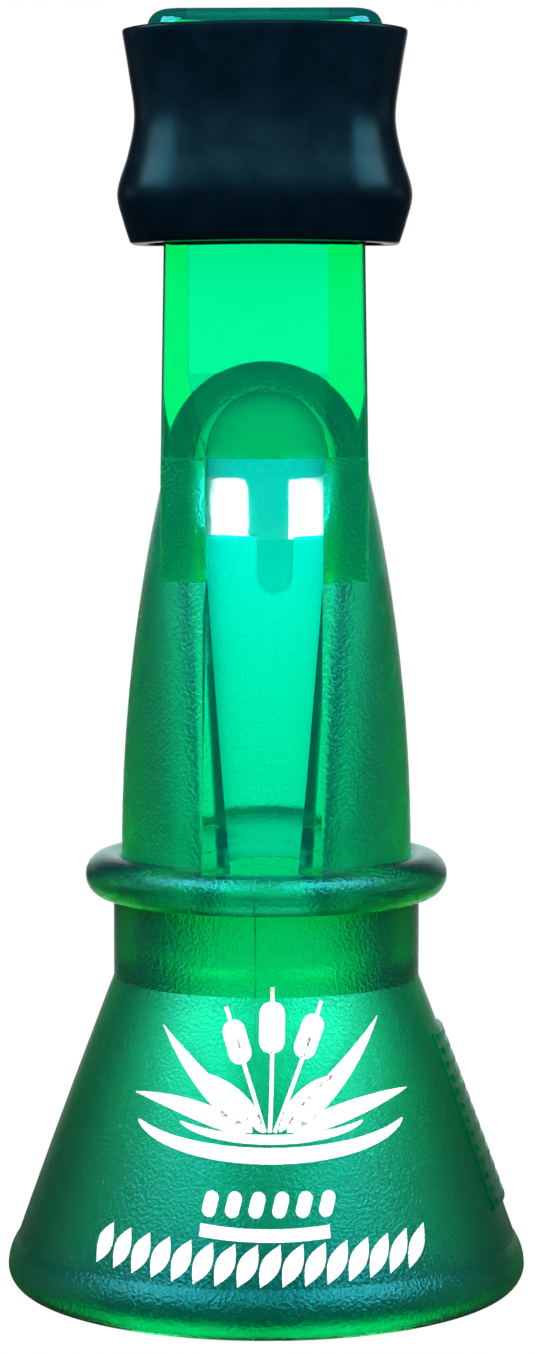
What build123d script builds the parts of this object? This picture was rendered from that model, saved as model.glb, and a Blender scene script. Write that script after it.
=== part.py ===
"""Whistle-type duck call: bell, barrel, mouthpiece, windway block and rubber sleeve.

Units are millimetres. The origin is the centre of the bell's rim, which the call stands on.
Z runs up the call to the lip, and the window and the ramp face -Y.
"""
from build123d import *
import math
import os

# ---- driving dimensions ---------------------------------------------------------------------
call_height = 107.3
fit_gap = 0.03

# bell
rim_radius = 22.0
rim_height = 2.1
rim_foot_outer = 20.4
rim_foot_inner = 19.7
cone_foot_radius = 21.15
cone_foot_height = 4.3
cone_middle_radius = 17.38
cone_middle_height = 14.75
cone_bulge = 0.36
neck_radius = 12.95
neck_bottom = 26.5
bell_bore = 9.0
bell_wall = 2.4
cone_lean = 20.5
grip_pad_height = 0.15
grip_pad_length = 15.6
grip_pad_arc = 34.0
grip_bar_count = 13
grip_bar_height = 0.38
grip_bar_length = 0.6
grip_bar_pitch = 1.15
grip_bar_arc = 28.0

# joint between bell and barrel
seat_height = 33.3
tenon_radius = 10.9
tenon_top = 34.4

# barrel
barrel_radius = 12.25
ogive_start = 36.9
ogive_radius = 145.0
dome_height = 70.0
bead_radius = 1.9
bead_outer = 15.32
bead_height = 35.15

# sound chamber: a tapering bore with a flat front
chamber_bottom_radius = 3.95
chamber_radius = 5.95
chamber_taper_top = 63.9
chamber_front = 3.0

# window, labium and ramp
window_half = 4.9
window_top = 70.3
labium_height = 63.6
labium_depth = 3.1
ramp_foot_height = 36.45
ramp_foot_depth = 10.9
ledge_height = 60.2

# mouthpiece
tube_front = 5.7
tube_back = 0.6
tube_half_low = 8.65
tube_half_high = 8.33
tube_taper_start = 68.9
tube_corner = 0.8
head_bottom = 88.3
head_width = 19.5
head_depth = 6.9
head_corner = 3.0
lip_round = 1.5
airway_left = 6.4
airway_right = 5.3
airway_front = 4.0
airway_back = 1.9
windway_top = 77.4
windway_floor_low = 2.75
windway_floor_high = 2.1

# rubber sleeve
sleeve_clearance = 0.05
sleeve_corner = 0.82
sleeve_sections = [
    # height, half width, half depth
    (88.0, 11.08, 5.65),
    (89.9, 11.70, 6.05),
    (92.3, 12.18, 6.30),
    (95.6, 11.26, 5.50),
    (98.6, 10.78, 5.00),
    (102.4, 11.24, 5.05),
    (106.0, 11.82, 5.30),
]

# ---- values worked out from them --------------------------------------------------------------
ogive_sweep = math.degrees(math.asin((dome_height - ogive_start) / ogive_radius))
dome_radius = barrel_radius - ogive_radius * (1 - math.cos(math.radians(ogive_sweep)))
tube_middle = -(tube_front + tube_back) / 2
far = 40.0

os.makedirs("parts", exist_ok=True)


def radial_plane(degrees):
    """The plane through Z that a radius at this angle from +X lies in; local y is height."""
    turn = math.radians(degrees)
    return Plane(
        origin=(0, 0, 0),
        x_dir=(math.cos(turn), math.sin(turn), 0),
        z_dir=(math.sin(turn), -math.cos(turn), 0),
    )


# ---- bell -------------------------------------------------------------------------------------
# The cone bulges a little, flares at the rim and stands on a narrow foot.
cone_top = (neck_radius, neck_bottom)
cone_middle = (cone_middle_radius, cone_middle_height)
cone_foot = (cone_foot_radius, cone_foot_height)
rim_widest = (rim_radius, rim_height)
rim_inside = (rim_foot_inner - 0.5, 0.65)
cone_inside = (cone_middle_radius - bell_wall - 0.2, cone_middle_height)
throat = (bell_bore + 0.7, neck_bottom + 0.4)
bore_start = (bell_bore, neck_bottom + 2.9)

with BuildPart() as bell:
    with BuildSketch(Plane.XZ):
        with BuildLine():
            Polyline(
                (bell_bore, tenon_top),
                (tenon_radius, tenon_top),
                (tenon_radius, seat_height),
                (neck_radius, seat_height),
                cone_top,
            )
            ThreePointArc(cone_top, cone_middle, cone_foot)
            ThreePointArc(cone_foot, (rim_radius - 0.24, rim_height + 1.1), rim_widest)
            ThreePointArc(rim_widest, (rim_radius - 0.45, 0.62), (rim_foot_outer, 0))
            Line((rim_foot_outer, 0), (rim_foot_inner, 0))
            ThreePointArc((rim_foot_inner, 0), (rim_foot_inner - 0.34, 0.2), rim_inside)
            ThreePointArc(rim_inside, cone_inside, throat)
            ThreePointArc(throat, (bell_bore + 0.18, neck_bottom + 1.6), bore_start)
            Line(bore_start, (bell_bore, tenon_top))
        make_face()
    revolve(axis=Axis.Z)
    chamfer(bell.edges().filter_by(GeomType.CIRCLE).group_by(Axis.Z)[-1].sort_by(SortBy.RADIUS)[-1], 0.3)

    # Raised pad for the thumb on the +X side, with bars that follow the round of the cone
    with BuildSketch(radial_plane(-grip_pad_arc / 2)):
        with Locations(Location(cone_middle, cone_lean)):
            Rectangle(2 * grip_pad_height, grip_pad_length)
    revolve(axis=Axis.Z, revolution_arc=grip_pad_arc)
    for number in range(grip_bar_count):
        bar_height = cone_middle_height + (number - (grip_bar_count - 1) / 2) * grip_bar_pitch
        along = (neck_bottom - bar_height) / (neck_bottom - cone_foot_height)
        straight = neck_radius + (cone_foot_radius - neck_radius) * along
        surface = straight + cone_bulge * along * (1 - along)
        with BuildSketch(radial_plane(-grip_bar_arc / 2)):
            with Locations(Location((surface, bar_height), cone_lean)):
                Rectangle(2 * grip_bar_height, grip_bar_length)
        revolve(axis=Axis.Z, revolution_arc=grip_bar_arc)
bell.part.label = "bell"

# ---- chamber cores, cut from the barrel and from the mouthpiece --------------------------------
with BuildPart() as bore_core:
    with BuildSketch(Plane.XZ):
        with BuildLine():
            Polyline(
                (0, seat_height - 1),
                (chamber_bottom_radius, seat_height - 1),
                (chamber_radius, chamber_taper_top),
                (chamber_radius, window_top),
                (0, window_top),
                close=True,
            )
        make_face()
    revolve(axis=Axis.Z)
    split(bisect_by=Plane.XZ.offset(chamber_front), keep=Keep.BOTTOM)

with BuildPart() as dome_core:
    with BuildSketch(Plane.XZ):
        with BuildLine():
            CenterArc((0, dome_height), chamber_radius, 0, 90)
            Line((0, dome_height), (0, dome_height + chamber_radius))
            Line((0, dome_height), (chamber_radius, dome_height))
        make_face()
    revolve(axis=Axis.Z)

# ---- barrel -----------------------------------------------------------------------------------
with BuildPart() as barrel:
    # Cylinder, ogive and dome in one outline
    with BuildSketch(Plane.XZ):
        with BuildLine():
            Line((0, seat_height), (barrel_radius, seat_height))
            Line((barrel_radius, seat_height), (barrel_radius, ogive_start))
            CenterArc((barrel_radius - ogive_radius, ogive_start), ogive_radius, 0, ogive_sweep)
            CenterArc((0, dome_height), dome_radius, 0, 90)
            Line((0, dome_height + dome_radius), (0, seat_height))
        make_face()
    revolve(axis=Axis.Z)

    # Bead ring, trimmed level with the seat under it
    with BuildSketch(Plane.XZ):
        with Locations((bead_outer - bead_radius, bead_height)):
            Circle(bead_radius)
    revolve(axis=Axis.Z)
    split(bisect_by=Plane.XY.offset(seat_height), keep=Keep.TOP)

    # Socket for the bell's tenon
    with BuildSketch(Plane.XY.offset(seat_height)):
        Circle(tenon_radius + fit_gap)
    extrude(amount=tenon_top - seat_height + 0.1, mode=Mode.SUBTRACT)

    # Pocket for the mouthpiece, which leaves the labium plate standing between its legs
    with BuildSketch(Plane.XZ.offset(tube_back)):
        with BuildLine():
            Polyline(
                (-tube_half_low - fit_gap, ledge_height),
                (-window_half + fit_gap, ledge_height),
                (-window_half + fit_gap, labium_height),
                (window_half - fit_gap, labium_height),
                (window_half - fit_gap, ledge_height),
                (tube_half_low + fit_gap, ledge_height),
                (tube_half_low + fit_gap, call_height),
                (-tube_half_low - fit_gap, call_height),
                close=True,
            )
        make_face()
    extrude(amount=far, mode=Mode.SUBTRACT)

    # Ramp, from the labium's edge out to the bead
    with BuildSketch(Plane.YZ):
        with BuildLine():
            Polyline(
                (-labium_depth, labium_height),
                (-ramp_foot_depth, ramp_foot_height),
                (-far, ramp_foot_height),
                (-far, labium_height),
                close=True,
            )
        make_face()
    extrude(amount=window_half, both=True, mode=Mode.SUBTRACT)

    add(bore_core.part, mode=Mode.SUBTRACT)
    add(dome_core.part, mode=Mode.SUBTRACT)
barrel.part.label = "barrel"

# ---- mouthpiece -------------------------------------------------------------------------------
with BuildPart() as mouthpiece:
    # Flat tube, a little wider at the legs than under the head
    with BuildSketch(Plane.XZ.offset(tube_back + fit_gap)):
        with BuildLine():
            Polyline(
                (-tube_half_low, ledge_height + fit_gap),
                (tube_half_low, ledge_height + fit_gap),
                (tube_half_low, tube_taper_start),
                (tube_half_high, head_bottom),
                (-tube_half_high, head_bottom),
                (-tube_half_low, tube_taper_start),
                close=True,
            )
        make_face()
    extrude(amount=tube_front - tube_back - fit_gap)
    front_face = mouthpiece.faces().sort_by(Axis.Y)[0]
    fillet(front_face.edges().filter_by(Axis.X, reverse=True), tube_corner)

    # Head that the sleeve grips, ending in the lip
    with BuildSketch(Plane.XY.offset(head_bottom)):
        with Locations((0, tube_middle)):
            RectangleRounded(head_width, head_depth, head_corner)
    extrude(amount=call_height - head_bottom)
    fillet(mouthpiece.faces().sort_by(Axis.Z)[-1].edges(), lip_round)

    # Airway: straight down from the lip, then narrowing to the windway
    airway_width = airway_left + airway_right
    airway_depth = airway_front - airway_back
    airway_centre = ((airway_right - airway_left) / 2, -(airway_front + airway_back) / 2)
    with BuildSketch(Plane.XY.offset(windway_top)):
        with Locations(airway_centre):
            Rectangle(airway_width, airway_depth)
    extrude(amount=call_height - windway_top, mode=Mode.SUBTRACT)
    with BuildSketch(Plane.XY.offset(window_top)):
        with Locations((0, airway_centre[1])):
            Rectangle(2 * window_half, airway_depth)
    with BuildSketch(Plane.XY.offset(windway_top)):
        with Locations(airway_centre):
            Rectangle(airway_width, airway_depth)
    loft(mode=Mode.SUBTRACT)

    # Window between the legs, and the chamber behind it
    with BuildSketch(Plane.XZ.offset(-far)):
        with Locations((0, (window_top + ledge_height) / 2)):
            Rectangle(2 * window_half, window_top - ledge_height)
    extrude(amount=2 * far, mode=Mode.SUBTRACT)
    add(bore_core.part, mode=Mode.SUBTRACT)
mouthpiece.part.label = "mouthpiece"

# ---- windway block ----------------------------------------------------------------------------
# A wedge on the airway's back wall, so that the air leaves in a thin ribbon over the labium.
with BuildPart() as windway_block:
    back = airway_back + fit_gap
    with BuildSketch(Plane.XY.offset(window_top)):
        with Locations((0, -(windway_floor_low + back) / 2)):
            Rectangle(2 * (window_half - fit_gap), windway_floor_low - back)
    with BuildSketch(Plane.XY.offset(windway_top)):
        with Locations((airway_centre[0], -(windway_floor_high + back) / 2)):
            Rectangle(airway_width - 2 * fit_gap, windway_floor_high - back)
    loft()
windway_block.part.label = "windway_block"

# ---- rubber sleeve ----------------------------------------------------------------------------
with BuildPart() as mouthpiece_sleeve:
    for height, half_width, half_depth in sleeve_sections:
        with BuildSketch(Plane.XY.offset(height)):
            with Locations((0, tube_middle)):
                RectangleRounded(2 * half_width, 2 * half_depth, sleeve_corner * half_depth)
    loft()
    with BuildSketch(Plane.XY.offset(sleeve_sections[0][0])):
        with Locations((0, tube_middle)):
            RectangleRounded(
                head_width + 2 * sleeve_clearance,
                head_depth + 2 * sleeve_clearance,
                head_corner + sleeve_clearance,
            )
    extrude(amount=far, mode=Mode.SUBTRACT)
mouthpiece_sleeve.part.label = "mouthpiece_sleeve"

# ---- one STEP file for each piece -------------------------------------------------------------
for piece in (bell, barrel, mouthpiece, windway_block, mouthpiece_sleeve):
    export_step(piece.part, f"parts/{piece.part.label}.step")
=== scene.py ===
"""Whistle-type duck call in clear green plastic, seen from the front on a white studio floor."""
import math

import bmesh
import bpy
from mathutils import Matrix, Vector, noise
from mathutils.bvhtree import BVHTree


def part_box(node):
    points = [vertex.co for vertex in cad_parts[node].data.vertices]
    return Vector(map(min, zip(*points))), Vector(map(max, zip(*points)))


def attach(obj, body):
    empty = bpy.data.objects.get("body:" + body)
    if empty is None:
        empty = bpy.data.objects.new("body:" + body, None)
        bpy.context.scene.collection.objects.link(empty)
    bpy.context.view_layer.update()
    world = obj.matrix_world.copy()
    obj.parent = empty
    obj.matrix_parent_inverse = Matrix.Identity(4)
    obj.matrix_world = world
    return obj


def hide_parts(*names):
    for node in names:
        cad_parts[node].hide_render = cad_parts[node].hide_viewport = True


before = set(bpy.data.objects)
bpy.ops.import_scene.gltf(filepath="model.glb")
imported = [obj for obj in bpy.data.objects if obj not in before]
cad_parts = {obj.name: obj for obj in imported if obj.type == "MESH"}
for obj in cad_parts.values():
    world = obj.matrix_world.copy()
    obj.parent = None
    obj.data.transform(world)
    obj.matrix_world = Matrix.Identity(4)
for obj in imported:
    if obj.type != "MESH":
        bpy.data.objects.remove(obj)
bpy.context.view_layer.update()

MM = 0.001
scene = bpy.context.scene


# ---- camera ---------------------------------------------------------------------------------
EYE_DISTANCE = 310.25 * MM
EYE_HEIGHT = 75.9 * MM
EYE_AZIMUTH = math.radians(1.8)
AIM = Vector((0.10 * MM, 0.0, 51.8 * MM))
LENS = 97.8


def make_camera():
    data = bpy.data.cameras.new("camera")
    data.sensor_width = 36.0
    data.lens = LENS
    data.clip_start = 0.01
    data.clip_end = 50.0
    camera = bpy.data.objects.new("camera", data)
    eye = Vector((math.sin(EYE_AZIMUTH) * EYE_DISTANCE, -math.cos(EYE_AZIMUTH) * EYE_DISTANCE, EYE_HEIGHT))
    camera.location = eye
    camera.rotation_euler = (AIM - eye).to_track_quat("-Z", "Y").to_euler()
    scene.collection.objects.link(camera)
    scene.camera = camera


# ---- node helpers ---------------------------------------------------------------------------
def new_material(name):
    material = bpy.data.materials.new(name)
    material.use_nodes = True
    nodes = material.node_tree.nodes
    return material, nodes, material.node_tree.links, nodes["Principled BSDF"], nodes["Material Output"]


def smooth_range(nodes, links, value, low, high, start, end):
    ramp = nodes.new("ShaderNodeMapRange")
    ramp.interpolation_type = "SMOOTHSTEP"
    ramp.inputs["From Min"].default_value = low
    ramp.inputs["From Max"].default_value = high
    ramp.inputs["To Min"].default_value = start
    ramp.inputs["To Max"].default_value = end
    links.new(value, ramp.inputs["Value"])
    return ramp.outputs["Result"]


def math_node(nodes, links, operation, first, second=0.0):
    node = nodes.new("ShaderNodeMath")
    node.operation = operation
    for socket, value in zip(node.inputs, (first, second)):
        if isinstance(value, (int, float)):
            socket.default_value = value
        else:
            links.new(value, socket)
    return node.outputs[0]


def noise_node(nodes, links, place, size, detail=2.0):
    """A cloud of blobs of about the given size, from 0 to 1."""
    cloud = nodes.new("ShaderNodeTexNoise")
    cloud.inputs["Scale"].default_value = 1 / size
    cloud.inputs["Detail"].default_value = detail
    links.new(place, cloud.inputs["Vector"])
    return cloud.outputs["Fac"]


def two_tones(nodes, links, value, low, high, first, second):
    """A colour that goes from the first to the second as the value goes from low to high."""
    ramp = nodes.new("ShaderNodeValToRGB")
    for stop, position, colour in zip(ramp.color_ramp.elements, (low, high), (first, second)):
        stop.position = position
        stop.color = (*colour, 1)
    links.new(value, ramp.inputs["Fac"])
    return ramp.outputs["Color"]


def bump_node(nodes, links, shader, height, depth):
    bump = nodes.new("ShaderNodeBump")
    bump.inputs["Strength"].default_value = 1.0
    bump.inputs["Distance"].default_value = depth
    links.new(height, bump.inputs["Height"])
    links.new(bump.outputs["Normal"], shader.inputs["Normal"])


def cylinder_place(nodes, links):
    """The point, its radius from the call's axis, and its X, Y and height, in metres."""
    place = nodes.new("ShaderNodeTexCoord")
    split = nodes.new("ShaderNodeSeparateXYZ")
    links.new(place.outputs["Object"], split.inputs["Vector"])
    flat = nodes.new("ShaderNodeCombineXYZ")
    links.new(split.outputs["X"], flat.inputs["X"])
    links.new(split.outputs["Y"], flat.inputs["Y"])
    length = nodes.new("ShaderNodeVectorMath")
    length.operation = "LENGTH"
    links.new(flat.outputs["Vector"], length.inputs[0])
    across, depth, height = (split.outputs[axis] for axis in "XYZ")
    return place.outputs["Object"], length.outputs["Value"], across, depth, height


# ---- clear plastic --------------------------------------------------------------------------
# Absorption per metre in red, green and blue
MOUTHPIECE_DYE = (2000.0, 62.0, 440.0)
BARREL_DYE = (1500.0, 16.0, 75.0)
BELL_DYE = (1500.0, 85.0, 320.0)
# How much of the light goes through a surface and isn't scattered by it
MOUTHPIECE_CLARITY = 0.97
BARREL_CLARITY = 0.98
BELL_CLARITY = 0.985
FROST_CLARITY = 0.80
HIGHLIGHT_TINT = (0.03, 0.80, 1, 1)
PLASTIC_TINT = (0.005, 1, 1, 1)
# Painted shade: a darker, bluer colour for the ring bead, which is the same plastic as the barrel
BEAD_PAINTED_SHADE = (0.02, 0.48, 0.66)
# Painted shade: the colour that the bell's cone darkens to towards the rim
CONE_PAINTED_SHADE = (0.02, 0.90, 0.74)
POLISH = 0.03
GRAIN_SIZE = 0.30 * MM
GRAIN_DEPTH = 0.10 * MM
GRAIN_ROUGHNESS = 0.26
BEAD_GRAIN = 0.85
SEAM_X = -0.5 * MM
SEAM_WIDTH = 0.08 * MM
SEAM_SHARE = 0.35

BARREL_RADIUS = 12.25 * MM
NECK_RADIUS = 12.95 * MM
NECK_BOTTOM = 26.5 * MM
CONE_SLOPE = 0.369
CONE_SHADE_FADE = 14.0 * MM
OGIVE_START = 36.9 * MM
OGIVE_CURVE = 290.0 * MM
DOME_HEIGHT = 70.0 * MM
LEG_TOP = 70.3 * MM
LEG_FADE = 0.2 * MM


def absorb(nodes, links, output, per_metre):
    density = max(per_metre) * 1.02
    volume = nodes.new("ShaderNodeVolumeAbsorption")
    volume.inputs["Color"].default_value = (*[1 - value / density for value in per_metre], 1)
    volume.inputs["Density"].default_value = density
    links.new(volume.outputs["Volume"], output.inputs["Volume"])


def clear_plastic(name, dye, clarity):
    material, nodes, links, shader, output = new_material(name)
    shader.inputs["Base Color"].default_value = PLASTIC_TINT
    shader.inputs["Transmission Weight"].default_value = clarity
    shader.inputs["IOR"].default_value = 1.5
    shader.inputs["Roughness"].default_value = POLISH
    shader.inputs["Specular Tint"].default_value = HIGHLIGHT_TINT
    absorb(nodes, links, output, dye)
    return material, nodes, links, shader


def front_seam(nodes, links, across, depth):
    """A fine raised line down the front, where the two halves of the mould met."""
    aside = math_node(nodes, links, "ABSOLUTE", math_node(nodes, links, "SUBTRACT", across, SEAM_X))
    line = smooth_range(nodes, links, aside, 0.0, SEAM_WIDTH, 1.0, 0.0)
    front = math_node(nodes, links, "LESS_THAN", depth, 0.0)
    return math_node(nodes, links, "MULTIPLY", line, front)


def grain(nodes, links, shader, place, mask, seam):
    """Moulded grain where the mask is 1, and polished plastic where it is 0."""
    blobs = noise_node(nodes, links, place, GRAIN_SIZE)
    line = math_node(nodes, links, "MULTIPLY", seam, SEAM_SHARE)
    height = math_node(nodes, links, "MULTIPLY", math_node(nodes, links, "ADD", blobs, line), mask)
    bump_node(nodes, links, shader, height, GRAIN_DEPTH)
    roughness = math_node(nodes, links, "MULTIPLY", mask, GRAIN_ROUGHNESS)
    links.new(math_node(nodes, links, "ADD", roughness, POLISH), shader.inputs["Roughness"])


def barrel_plastic():
    """The outside of the barrel and dome is grained; its ramp, pocket and chamber are polished. The bead is
    painted darker and bluer as painted shade.
    """
    material, nodes, links, shader = clear_plastic("barrel_green", BARREL_DYE, BARREL_CLARITY)
    place, radius, across, depth, height = cylinder_place(nodes, links)
    ogive_height = math_node(nodes, links, "MINIMUM", height, DOME_HEIGHT)
    above = math_node(nodes, links, "SUBTRACT", ogive_height, OGIVE_START)
    above = math_node(nodes, links, "MAXIMUM", above, 0.0)
    drop = math_node(nodes, links, "DIVIDE", math_node(nodes, links, "MULTIPLY", above, above), OGIVE_CURVE)
    outline = math_node(nodes, links, "SUBTRACT", BARREL_RADIUS, drop)
    over_dome = math_node(nodes, links, "SUBTRACT", height, DOME_HEIGHT)
    over_dome = math_node(nodes, links, "MAXIMUM", over_dome, 0.0)
    squares = math_node(nodes, links, "ADD", math_node(nodes, links, "MULTIPLY", radius, radius),
                        math_node(nodes, links, "MULTIPLY", over_dome, over_dome))
    reach = math_node(nodes, links, "SQRT", squares)
    inside = math_node(nodes, links, "SUBTRACT", reach, outline)
    mask = smooth_range(nodes, links, inside, -0.3 * MM, -0.1 * MM, 0.0, 1.0)
    bead = smooth_range(nodes, links, radius, BARREL_RADIUS + 0.1 * MM, BARREL_RADIUS + 0.4 * MM, 0.0, 1.0)
    # The bead takes the darker, bluer colour: painted shade
    tone = two_tones(nodes, links, bead, 0.0, 1.0, PLASTIC_TINT[:3], BEAD_PAINTED_SHADE)
    links.new(tone, shader.inputs["Base Color"])
    finer = math_node(nodes, links, "MULTIPLY", bead, 1 - BEAD_GRAIN)
    mask = math_node(nodes, links, "MULTIPLY", mask, math_node(nodes, links, "SUBTRACT", 1.0, finer))
    grain(nodes, links, shader, place, mask, front_seam(nodes, links, across, depth))
    return material


def bell_plastic():
    """The outside of the bell is grained and its inside is polished. Down the cone its colour is darkened
    towards the rim as painted shade.
    """
    material, nodes, links, shader = clear_plastic("bell_green", BELL_DYE, BELL_CLARITY)
    place, radius, across, depth, height = cylinder_place(nodes, links)
    below = math_node(nodes, links, "MAXIMUM", math_node(nodes, links, "SUBTRACT", NECK_BOTTOM, height), 0.0)
    widening = math_node(nodes, links, "MULTIPLY", below, CONE_SLOPE)
    outline = math_node(nodes, links, "ADD", widening, NECK_RADIUS)
    inside = math_node(nodes, links, "SUBTRACT", radius, outline)
    mask = smooth_range(nodes, links, inside, -1.5 * MM, -1.1 * MM, 0.0, 1.0)
    # Painted shade: the colour darkens from the neck down the cone
    cone = smooth_range(nodes, links, height, NECK_BOTTOM - CONE_SHADE_FADE, NECK_BOTTOM, 1.0, 0.0)
    tone = two_tones(nodes, links, cone, 0.0, 1.0, PLASTIC_TINT[:3], CONE_PAINTED_SHADE)
    links.new(tone, shader.inputs["Base Color"])
    grain(nodes, links, shader, place, mask, front_seam(nodes, links, across, depth))
    return material


def mouthpiece_plastic():
    """The tube is polished and its two legs are frosted."""
    material, nodes, links, shader = clear_plastic("mouthpiece_green", MOUTHPIECE_DYE, MOUTHPIECE_CLARITY)
    place, *_, height = cylinder_place(nodes, links)
    legs = smooth_range(nodes, links, height, LEG_TOP - LEG_FADE, LEG_TOP + LEG_FADE, 1.0, 0.0)
    grain(nodes, links, shader, place, legs, 0.0)
    return material


# ---- other materials ------------------------------------------------------------------------
def black_rubber():
    material, nodes, links, shader, _ = new_material("black_rubber")
    place = cylinder_place(nodes, links)[0]
    clouds = noise_node(nodes, links, place, 3.0 * MM, 4.0)
    tone = two_tones(nodes, links, clouds, 0.3, 0.7, (0.0002, 0.0018, 0.0045), (0.0006, 0.0032, 0.0068))
    links.new(tone, shader.inputs["Base Color"])
    links.new(smooth_range(nodes, links, clouds, 0.3, 0.7, 0.30, 0.38), shader.inputs["Roughness"])
    shader.inputs["Specular IOR Level"].default_value = 0.15
    shader.inputs["Specular Tint"].default_value = (0.15, 0.75, 1.0, 1)
    bump_node(nodes, links, shader, noise_node(nodes, links, place, 0.12 * MM), 0.006 * MM)
    return material


def white_ink():
    """Pad-printed ink, thinner in places, lying over the bell's grain."""
    material, nodes, links, shader, _ = new_material("white_ink")
    place = cylinder_place(nodes, links)[0]
    speckle = noise_node(nodes, links, place, 0.22 * MM, 3.0)
    tone = two_tones(nodes, links, speckle, 0.35, 0.55, (0.34, 0.38, 0.39), (0.56, 0.58, 0.58))
    links.new(tone, shader.inputs["Base Color"])
    shader.inputs["Roughness"].default_value = 0.55
    bump_node(nodes, links, shader, noise_node(nodes, links, place, GRAIN_SIZE), GRAIN_DEPTH)
    return material


def chamber_frost():
    """The rough skin on the chamber's back wall, which scatters part of the light. Its tongue down behind the
    labium plate is painted shadow.
    """
    material, nodes, links, shader = clear_plastic("chamber_frost", BARREL_DYE, FROST_CLARITY)
    shader.inputs["Base Color"].default_value = (0.8, 1, 1, 1)
    shader.inputs["Specular Tint"].default_value = (0.8, 1, 1, 1)
    shader.inputs["Roughness"].default_value = 0.30
    place = cylinder_place(nodes, links)[0]
    bump_node(nodes, links, shader, noise_node(nodes, links, place, GRAIN_SIZE), GRAIN_DEPTH)
    return material


# ---- pieces ---------------------------------------------------------------------------------
def add_piece(name, vertices, faces, body, material, smooth):
    mesh = bpy.data.meshes.new(name)
    mesh.from_pydata(vertices, [], faces)
    shape = bmesh.new()
    shape.from_mesh(mesh)
    bmesh.ops.recalc_face_normals(shape, faces=shape.faces)
    shape.to_mesh(mesh)
    shape.free()
    mesh.polygons.foreach_set("use_smooth", [smooth] * len(mesh.polygons))
    mesh.materials.append(material)
    piece = bpy.data.objects.new(name, mesh)
    scene.collection.objects.link(piece)
    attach(piece, body)
    return piece


def grid_faces(rows, columns, first):
    """Quads over rows of points that follow each other in one list."""
    faces = []
    for row in range(rows - 1):
        for column in range(columns - 1):
            corner = first + row * columns + column
            faces.append((corner, corner + 1, corner + columns + 1, corner + columns))
    return faces


def plate(rows, columns, first=0):
    """Faces of a thin closed plate between two grids, one after the other from the first point."""
    under = first + rows * columns
    faces = grid_faces(rows, columns, first)
    faces += [tuple(reversed(face)) for face in grid_faces(rows, columns, under)]
    rim = list(range(columns))
    rim += [row * columns + columns - 1 for row in range(1, rows)]
    rim += [(rows - 1) * columns + column for column in range(columns - 2, -1, -1)]
    rim += [row * columns for row in range(rows - 2, 0, -1)]
    for here, there in zip(rim, rim[1:] + rim[:1]):
        faces.append((first + there, first + here, under + here, under + there))
    return faces


# The rubber sleeve: a waisted tube over the flat head, with its edges arched front and back
SLEEVE_SECTIONS = (
    # height, half width, half depth
    (88.0 * MM, 11.10 * MM, 5.65 * MM),
    (89.9 * MM, 11.70 * MM, 6.05 * MM),
    (92.3 * MM, 12.20 * MM, 6.30 * MM),
    (95.6 * MM, 11.30 * MM, 5.50 * MM),
    (98.6 * MM, 10.80 * MM, 5.00 * MM),
    (102.4 * MM, 11.24 * MM, 5.05 * MM),
    (106.0 * MM, 11.82 * MM, 5.30 * MM),
)
SLEEVE_CORNER = 0.82
SLEEVE_EDGE = 0.30 * MM
SLEEVE_GAP = 0.05 * MM
TOP_ARCH = 0.35 * MM
BOTTOM_ARCH = 0.25 * MM
HEAD_CORNER = 3.0 * MM
CORNER_STEPS = 14
SIDE_STEPS = 12
WALL_ROWS = 40
HOLE_ROWS = 12


def sleeve_section(height):
    """Half width and half depth at a height, on a smooth curve through the sections."""
    rows = SLEEVE_SECTIONS
    index = max(0, min(len(rows) - 2, sum(row[0] <= height for row in rows) - 1))
    before, low, high, after = (rows[max(0, min(len(rows) - 1, index + step))] for step in (-1, 0, 1, 2))
    span = high[0] - low[0]
    part = (height - low[0]) / span
    square, cube = part ** 2, part ** 3
    sizes = []
    for axis in (1, 2):
        rise_low = (high[axis] - before[axis]) / (high[0] - before[0]) * span
        rise_high = (after[axis] - low[axis]) / (after[0] - low[0]) * span
        size = (2 * cube - 3 * square + 1) * low[axis] + (cube - 2 * square + part) * rise_low
        size += (3 * square - 2 * cube) * high[axis] + (cube - square) * rise_high
        sizes.append(size)
    return sizes


def rounded_outline(half_width, half_depth, corner):
    """Points round a rectangle with round corners, as many for every size."""
    arcs = []
    for quarter, (side, face) in enumerate(((1, 1), (-1, 1), (-1, -1), (1, -1))):
        middle = Vector((side * (half_width - corner), face * (half_depth - corner)))
        arc = []
        for step in range(CORNER_STEPS + 1):
            angle = math.radians(90 * (quarter + step / CORNER_STEPS))
            arc.append(middle + corner * Vector((math.cos(angle), math.sin(angle))))
        arcs.append(arc)
    points = []
    for arc, following in zip(arcs, arcs[1:] + arcs[:1]):
        points += arc
        points += [arc[-1].lerp(following[0], step / SIDE_STEPS) for step in range(1, SIDE_STEPS)]
    return points


def wall_outline(height, inset):
    half_width, half_depth = sleeve_section(height)
    corner = SLEEVE_CORNER * half_depth
    return rounded_outline(half_width - inset, half_depth - inset, corner - inset)


def sleeve_outlines(low, high, hole):
    """Height and outline of each row: up the outside, over the top and down the hole."""
    edge = []
    for step in range(5):
        angle = math.radians(90 * step / 4)
        edge.append((SLEEVE_EDGE * (1 - math.cos(angle)), SLEEVE_EDGE * (1 - math.sin(angle))))
    rows = [(low + rise, wall_outline(low + rise, inset)) for rise, inset in edge]
    for step in range(1, WALL_ROWS):
        height = low + SLEEVE_EDGE + (high - low - 2 * SLEEVE_EDGE) * step / WALL_ROWS
        rows.append((height, wall_outline(height, 0.0)))
    rows += [(high - rise, wall_outline(high - rise, inset)) for rise, inset in reversed(edge)]
    rows += [(high + (low - high) * step / HOLE_ROWS, hole) for step in range(HOLE_ROWS + 1)]
    return rows


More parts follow.
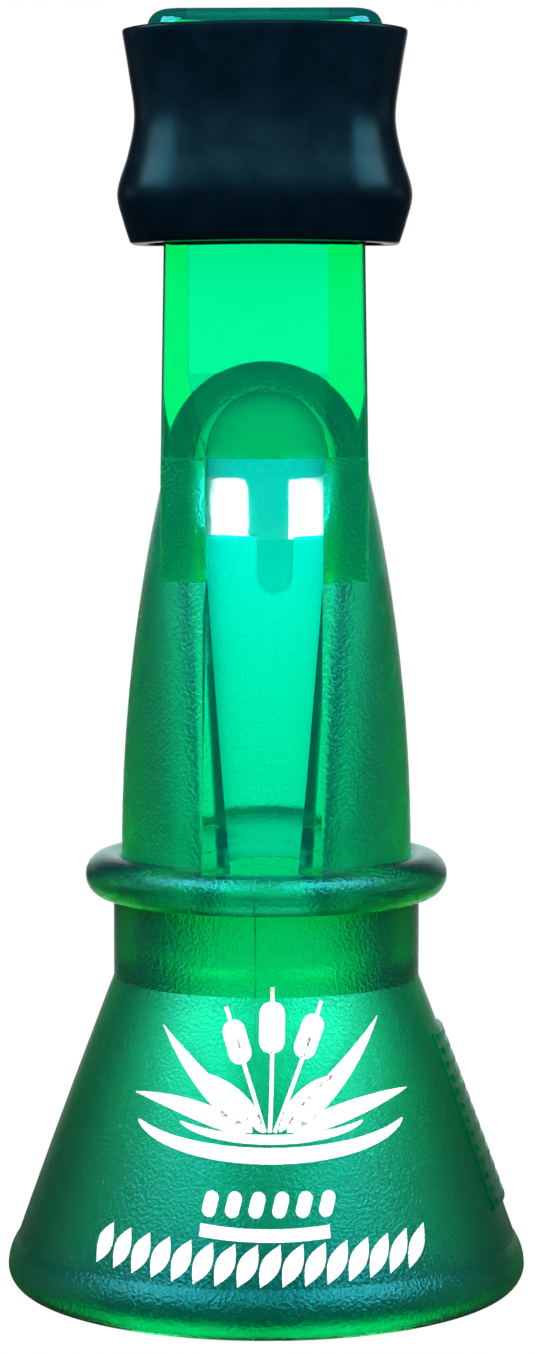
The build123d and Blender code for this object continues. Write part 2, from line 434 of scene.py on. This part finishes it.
def make_sleeve(material):
    low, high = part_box("mouthpiece_sleeve")
    head_low, head_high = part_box("mouthpiece")
    half_width, half_depth = ((head_high[axis] - head_low[axis]) / 2 + SLEEVE_GAP for axis in (0, 1))
    middle = (head_low[1] + head_high[1]) / 2
    hole = rounded_outline(half_width, half_depth, HEAD_CORNER + SLEEVE_GAP)
    outlines = sleeve_outlines(low[2], high[2], hole)
    widest = SLEEVE_SECTIONS[0][1]
    vertices = []
    for height, outline in outlines:
        share = (height - low[2]) / (high[2] - low[2])
        for point in outline:
            aside = min(1.0, (point.x / widest) ** 2)
            arch = (1 - share) * BOTTOM_ARCH * (1 - aside) - share * TOP_ARCH * aside
            vertices.append((point.x, point.y + middle, height + arch))
    rows, count = len(outlines), len(hole)
    faces = []
    for row in range(rows):
        here, above = row * count, (row + 1) % rows * count
        for column in range(count):
            after = (column + 1) % count
            faces.append((here + column, here + after, above + after, above + column))
    sleeve = add_piece("rubber_sleeve", vertices, faces, "sleeve", material, True)
    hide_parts("mouthpiece_sleeve")


# The rough skin inside the chamber, with a tongue that runs down behind the labium plate: the tongue is a
# frosted sheet put there as painted shadow
SKIN_RADIUS = 5.93 * MM
SKIN_THICKNESS = 0.10 * MM
SKIN_BUMP = 0.05 * MM
SKIN_HALF_ANGLE = math.radians(62)
SKIN_TOP = 70.0 * MM
SKIN_POLE = math.radians(80)
SKIN_SHOULDER = 63.5 * MM
SHOULDER_RISE = 0.2 * MM
SHADOW_TONGUE_END = 57.2 * MM
SHADOW_TONGUE_HALF = 1.55 * MM
SHADOW_TONGUE_OFFSET = 0.6 * MM
CHAMBER_FOOT = 32.3 * MM
CHAMBER_FOOT_RADIUS = 3.93 * MM
CHAMBER_TAPER_TOP = 63.9 * MM
SKIN_ROWS = 90
DOME_ROWS = 30
SKIN_COLUMNS = 70


def skin_span(height):
    """The angles that the skin runs between at a height."""
    # Below the shoulder the skin narrows to the tongue, a sheet that stands in for a shadow: painted shadow
    into_end = max(0.0, 1 - (height - SHADOW_TONGUE_END) / SHADOW_TONGUE_HALF)
    shadow_tongue = SHADOW_TONGUE_HALF * math.sqrt(1 - into_end ** 2) / SKIN_RADIUS + 0.01
    middle = SHADOW_TONGUE_OFFSET / SKIN_RADIUS
    part = min(1.0, max(0.0, (height - SKIN_SHOULDER) / SHOULDER_RISE))
    return (part * -SKIN_HALF_ANGLE + (1 - part) * (middle - shadow_tongue),
            part * SKIN_HALF_ANGLE + (1 - part) * (middle + shadow_tongue))


def skin_profile():
    """Radius, height and slope of the chamber's wall, from the shadow tongue's end to near the dome's top."""
    rows = []
    for row in range(SKIN_ROWS):
        height = SHADOW_TONGUE_END + (SKIN_TOP - SHADOW_TONGUE_END) * row / (SKIN_ROWS - 1)
        taper = min(1.0, (height - CHAMBER_FOOT) / (CHAMBER_TAPER_TOP - CHAMBER_FOOT))
        rows.append((CHAMBER_FOOT_RADIUS + (SKIN_RADIUS - CHAMBER_FOOT_RADIUS) * taper, height, 0.0))
    for row in range(1, DOME_ROWS + 1):
        slope = SKIN_POLE * row / DOME_ROWS
        rows.append((SKIN_RADIUS * math.cos(slope), SKIN_TOP + SKIN_RADIUS * math.sin(slope), slope))
    return rows


def make_chamber_skin(material):
    outer, inner = [], []
    profile = skin_profile()
    for wall, height, slope in profile:
        start, end = skin_span(height)
        for column in range(SKIN_COLUMNS):
            angle = start + (end - start) * column / (SKIN_COLUMNS - 1)
            ahead = Vector((math.sin(angle), math.cos(angle), 0))
            point = ahead * wall + Vector((0, 0, height))
            inward = -(ahead * math.cos(slope) + Vector((0, 0, math.sin(slope))))
            lump = (noise.noise(point / GRAIN_SIZE) + 1) / 2
            outer.append(point)
            inner.append(point + inward * (SKIN_THICKNESS + SKIN_BUMP * lump))
    faces = plate(len(profile), SKIN_COLUMNS)
    add_piece("chamber_skin", outer + inner, faces, "call_body", material, True)


# ---- print on the bell ----------------------------------------------------------------------
# Drawn in millimetres as (round the cone, up it), in strokes that lie on the bell's surface.
INK_LIFT = 0.015 * MM
INK_THICKNESS = 0.035 * MM
STROKE_STEP = 0.35
STROKE_COLUMNS = 5
THINNEST_STROKE = 0.03
FEWEST_STEPS = 20
OUTSIDE_BELL = 0.05


class Surface:
    """The outside of the bell, found from its mesh."""

    def __init__(self, node):
        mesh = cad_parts[node].data
        corners = [vertex.co.copy() for vertex in mesh.vertices]
        self.tree = BVHTree.FromPolygons(corners, [tuple(face.vertices) for face in mesh.polygons])

    def radius(self, angle, height):
        ahead = Vector((math.sin(angle), -math.cos(angle), 0))
        hit = self.tree.ray_cast(ahead * OUTSIDE_BELL + Vector((0, 0, height)), -ahead)[0]
        return math.hypot(hit.x, hit.y)

    def point(self, along, height, lift):
        angle = along / self.radius(0.0, height)
        reach = self.radius(angle, height) + lift
        return Vector((math.sin(angle) * reach, -math.cos(angle) * reach, height))


def stroke(line, half_widths):
    """A stroke's rows of points: its centre line, widened by its half width at each point."""
    rows = []
    for index, (here, half_width) in enumerate(zip(line, half_widths)):
        before, after = line[max(0, index - 1)], line[min(len(line) - 1, index + 1)]
        ahead = (after - before).normalized()
        aside = Vector((-ahead.y, ahead.x)) * max(half_width, THINNEST_STROKE)
        across = [2 * column / (STROKE_COLUMNS - 1) - 1 for column in range(STROKE_COLUMNS)]
        rows.append([here + aside * share for share in across])
    return rows


def curve_points(start, control, end):
    """A curved line with one control point, in short steps."""
    start, control, end = Vector(start), Vector(control), Vector(end)
    count = max(FEWEST_STEPS, int((start - end).length / STROKE_STEP))
    points = []
    for step in range(count + 1):
        part = step / count
        points.append(start * (1 - part) ** 2 + control * 2 * part * (1 - part) + end * part ** 2)
    return points


def blade(start, control, end, width):
    """A leaf: widest near its foot, and pointed at its tip."""
    line = curve_points(start, control, end)
    shares = [index / (len(line) - 1) for index in range(len(line))]
    return stroke(line, [width / 2 * abs(math.sin(math.pi * share ** 0.6)) ** 0.8 for share in shares])


def leaf(start, end, width):
    """A short leaf, pointed at both ends."""
    line = curve_points(start, (Vector(start) + Vector(end)) / 2, end)
    return stroke(line, [width / 2 * math.sin(math.pi * step / (len(line) - 1)) for step in range(len(line))])


def rod(start, control, end, width):
    line = curve_points(start, control, end)
    return stroke(line, [width / 2] * len(line))


def capsule(start, end, width):
    """A straight stroke with round ends."""
    start, end = Vector(start), Vector(end)
    line = curve_points(start, (start + end) / 2, end)
    length = (end - start).length
    halves = []
    for index in range(len(line)):
        from_end = length * min(index, len(line) - 1 - index) / (len(line) - 1)
        missing = max(0.0, 1 - from_end / (width / 2))
        halves.append(width / 2 * math.sqrt(1 - missing ** 2))
    return stroke(line, halves)


def ripple(centre, half_width, half_height, start, end, width):
    """Part of an ellipse, thinning to its ends."""
    count = int(half_width * math.radians(end - start) / STROKE_STEP)
    line, halves = [], []
    for step in range(count + 1):
        angle = math.radians(start + (end - start) * step / count)
        line.append(Vector(centre) + Vector((half_width * math.cos(angle), half_height * math.sin(angle))))
        halves.append(width / 2 * abs(math.sin(math.pi * step / count)) ** 0.5)
    return stroke(line, halves)


def reed_strokes():
    """A clump of reeds standing in ripples."""
    foot = 16.2
    leaves = (
        ((-1.0, foot), (-6.0, 18.4), (-11.2, 18.6), 1.5),
        ((-0.6, foot), (-5.0, 20.0), (-8.6, 24.0), 1.6),
        ((0.2, foot), (-1.6, 19.5), (-4.6, 20.6), 1.1),
        ((1.6, foot), (3.4, 20.0), (6.6, 20.4), 1.1),
        ((2.2, foot), (7.0, 20.4), (10.4, 24.6), 1.7),
        ((2.6, foot), (8.6, 18.2), (13.4, 18.8), 1.5),
    )
    stems = (
        ((0.4, foot), (-0.8, 20.0), (-2.9, 25.8)),
        ((0.8, foot), (1.0, 20.0), (0.9, 27.4)),
        ((1.2, foot), (2.8, 20.0), (5.0, 26.2)),
    )
    heads = (
        ((-1.4, 21.4), (-2.5, 24.8), 1.9),
        ((0.9, 22.2), (0.9, 26.3), 2.1),
        ((3.3, 21.8), (4.6, 25.2), 1.9),
    )
    pool = (1.0, 17.4)
    strokes = [blade(*bent) for bent in leaves]
    strokes += [rod(*stem, 0.34) for stem in stems]
    strokes += [capsule(*head) for head in heads]
    strokes.append(ripple(pool, 12.2, 3.0, 196, 344, 1.25))
    strokes.append(ripple(pool, 8.2, 1.75, 200, 340, 0.75))
    return strokes


def border_strokes():
    """A short row of seeds over a bar, and a long arched row of leaves under it."""
    strokes = []
    for number in range(6):
        along = -4.2 + number * 1.9
        strokes.append(capsule((along, 9.7), (along + 0.5, 11.7), 1.15))
    strokes.append(rod((-4.8, 8.7), (0.5, 8.1), (5.8, 8.6), 1.0))
    for number in range(16):
        along = -13.6 + number * 1.82
        rise = 0.004 * (along - 0.5) ** 2
        strokes.append(leaf((along - 0.8, 4.5 + rise), (along + 0.8, 7.7 + rise), 1.5))
    return strokes


def add_print(name, strokes, surface, material):
    vertices, faces = [], []
    for rows in strokes:
        faces += plate(len(rows), STROKE_COLUMNS, len(vertices))
        places = [(point.x * MM, point.y * MM) for row in rows for point in row]
        for lift in (INK_LIFT + INK_THICKNESS, INK_LIFT):
            vertices += [surface.point(*place, lift) for place in places]
    add_piece(name, vertices, faces, "call_body", material, False)


# ---- studio ---------------------------------------------------------------------------------
# The call stands in front of a bright backdrop of limited size, in a dark room, between two softboxes
# and two upright panels. All the light is white. Two narrow lamps light the skin behind the window.
BACKDROP_RADIANCE = 1.3
ROOM_RADIANCE = 0.04
FLOOR_RADIANCE = 1.2
FLOOR_SHADE = 0.05
FLOOR_RISE = (-0.01, 0.17)
FLOOR_WEDGE = 0.20
FLOOR_EDGE = 0.06
FLOOR_HALF = 3.0
BACKDROP_EDGE = (math.cos(math.radians(30)), math.cos(math.radians(14)))
PANEL_RADIANCE = 0.9
PANEL_EDGE = (0.86, 0.97)
PANEL_FRONT = (-0.35, -0.05)
PANEL_TOP = (0.10, 0.30)
# Azimuth and elevation in degrees, then distance and size in metres
SOFTBOX = (50, 40, 0.8, (0.75, 0.45))
SOFTBOX_RADIANCE = 14.0
TOP_SOFTBOX = (0, 78, 0.9, (0.5, 0.5))
TOP_RADIANCE = 0.5
WINDOW_LAMP = (31, 9, 0.15)
WINDOW_SIDE = (3.2 * MM, -5.7 * MM, 67.3 * MM)
WINDOW_LAMP_SIZE = (2.4 * MM, 4.5 * MM)
WINDOW_LAMP_SPREAD = 1.2
WINDOW_LAMP_ENERGY = 0.0016


def white_to_camera(nodes, links, strength, shader_strength):
    """What the lens sees directly is plain white; the object is lit by the given strength."""
    path = nodes.new("ShaderNodeLightPath")
    mix = nodes.new("ShaderNodeMix")
    mix.data_type = "FLOAT"
    mix.inputs["B"].default_value = 1.0
    links.new(path.outputs["Is Camera Ray"], mix.inputs["Factor"])
    links.new(strength, mix.inputs["A"])
    links.new(mix.outputs["Result"], shader_strength)


def make_world():
    world = bpy.data.worlds.new("studio")
    scene.world = world
    world.use_nodes = True
    nodes, links = world.node_tree.nodes, world.node_tree.links
    background = nodes["Background"]
    background.inputs["Color"].default_value = (1, 1, 1, 1)
    direction = nodes.new("ShaderNodeTexCoord")
    split = nodes.new("ShaderNodeSeparateXYZ")
    links.new(direction.outputs["Generated"], split.inputs["Vector"])
    toward_back = split.outputs["Y"]
    backdrop = smooth_range(nodes, links, toward_back, *BACKDROP_EDGE, ROOM_RADIANCE, BACKDROP_RADIANCE)
    aside = math_node(nodes, links, "ABSOLUTE", split.outputs["X"])
    panel = smooth_range(nodes, links, aside, *PANEL_EDGE, 0.0, PANEL_RADIANCE)
    behind = smooth_range(nodes, links, toward_back, *PANEL_FRONT, 0.0, 1.0)
    tilt = math_node(nodes, links, "ABSOLUTE", split.outputs["Z"])
    level = smooth_range(nodes, links, tilt, *PANEL_TOP, 1.0, 0.0)
    panel = math_node(nodes, links, "MULTIPLY", panel, math_node(nodes, links, "MULTIPLY", behind, level))
    strength = math_node(nodes, links, "ADD", backdrop, panel)
    white_to_camera(nodes, links, strength, background.inputs["Strength"])


def add_lamp(name, azimuth, elevation, distance, size, energy, spread, target):
    """A flat lamp that looks at its target; azimuth 0 is in front of the call."""
    data = bpy.data.lights.new(name, "AREA")
    data.shape = "RECTANGLE"
    data.size, data.size_y = size
    data.energy = energy
    data.spread = math.radians(spread)
    lamp = bpy.data.objects.new(name, data)
    turn, lift = math.radians(azimuth), math.radians(elevation)
    back = Vector((math.sin(turn) * math.cos(lift), -math.cos(turn) * math.cos(lift), math.sin(lift)))
    lamp.location = Vector(target) + back * distance
    lamp.rotation_euler = back.to_track_quat("Z", "Y").to_euler()
    lamp.visible_camera = False
    scene.collection.objects.link(lamp)


def add_softbox(name, azimuth, elevation, distance, size, radiance):
    energy = radiance * math.pi * size[0] * size[1]
    add_lamp(name, azimuth, elevation, distance, size, energy, 180, (0, 0, 50 * MM))


def make_lights():
    aside, ahead, height = WINDOW_SIDE
    box_turn, *box_place = SOFTBOX
    lamp_turn, *lamp_place = WINDOW_LAMP
    for side, sign in (("left", -1), ("right", 1)):
        add_softbox(side + "_softbox", sign * box_turn, *box_place, SOFTBOX_RADIANCE)
        target = (sign * aside, ahead, height)
        add_lamp(side + "_window_lamp", sign * lamp_turn, *lamp_place, WINDOW_LAMP_SIZE,
                 WINDOW_LAMP_ENERGY, WINDOW_LAMP_SPREAD, target)
    add_softbox("top_softbox", *TOP_SOFTBOX, TOP_RADIANCE)


def make_floor():
    mesh = bpy.data.meshes.new("floor")
    corners = [(x * FLOOR_HALF, y * FLOOR_HALF, 0) for x, y in ((-1, -1), (1, -1), (1, 1), (-1, 1))]
    mesh.from_pydata(corners, [], [(0, 1, 2, 3)])
    floor = bpy.data.objects.new("floor", mesh)
    floor.location.z = -0.2 * MM
    scene.collection.objects.link(floor)
    material = bpy.data.materials.new("floor")
    material.use_nodes = True
    nodes, links = material.node_tree.nodes, material.node_tree.links
    nodes.remove(nodes["Principled BSDF"])
    glow = nodes.new("ShaderNodeEmission")
    place = nodes.new("ShaderNodeNewGeometry")
    split = nodes.new("ShaderNodeSeparateXYZ")
    links.new(place.outputs["Position"], split.inputs["Vector"])
    behind = smooth_range(nodes, links, split.outputs["Y"], *FLOOR_RISE, 0.0, 1.0)
    aside = math_node(nodes, links, "ABSOLUTE", split.outputs["X"])
    wedge = math_node(nodes, links, "MULTIPLY", split.outputs["Y"], FLOOR_WEDGE)
    beside = math_node(nodes, links, "SUBTRACT", aside, wedge)
    within = smooth_range(nodes, links, beside, 0.0, FLOOR_EDGE, 1.0, 0.0)
    lit = math_node(nodes, links, "MULTIPLY", behind, within)
    glow_strength = math_node(nodes, links, "MULTIPLY", lit, FLOOR_RADIANCE - FLOOR_SHADE)
    strength = math_node(nodes, links, "ADD", glow_strength, FLOOR_SHADE)
    white_to_camera(nodes, links, strength, glow.inputs["Strength"])
    links.new(glow.outputs["Emission"], nodes["Material Output"].inputs["Surface"])
    floor.data.materials.append(material)


def give(node, material):
    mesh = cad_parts[node].data
    mesh.materials.clear()
    mesh.materials.append(material)


make_camera()
make_world()
make_floor()
make_lights()

give("bell", bell_plastic())
give("barrel", barrel_plastic())
clear = mouthpiece_plastic()
give("mouthpiece", clear)
give("windway_block", clear)
make_sleeve(black_rubber())
make_chamber_skin(chamber_frost())
ink = white_ink()
bell_surface = Surface("bell")
add_print("reed_print", reed_strokes(), bell_surface, ink)
add_print("border_print", border_strokes(), bell_surface, ink)

scene.view_settings.view_transform = "Standard"
scene.cycles.max_bounces = 32
scene.cycles.transmission_bounces = 32
scene.cycles.glossy_bounces = 8
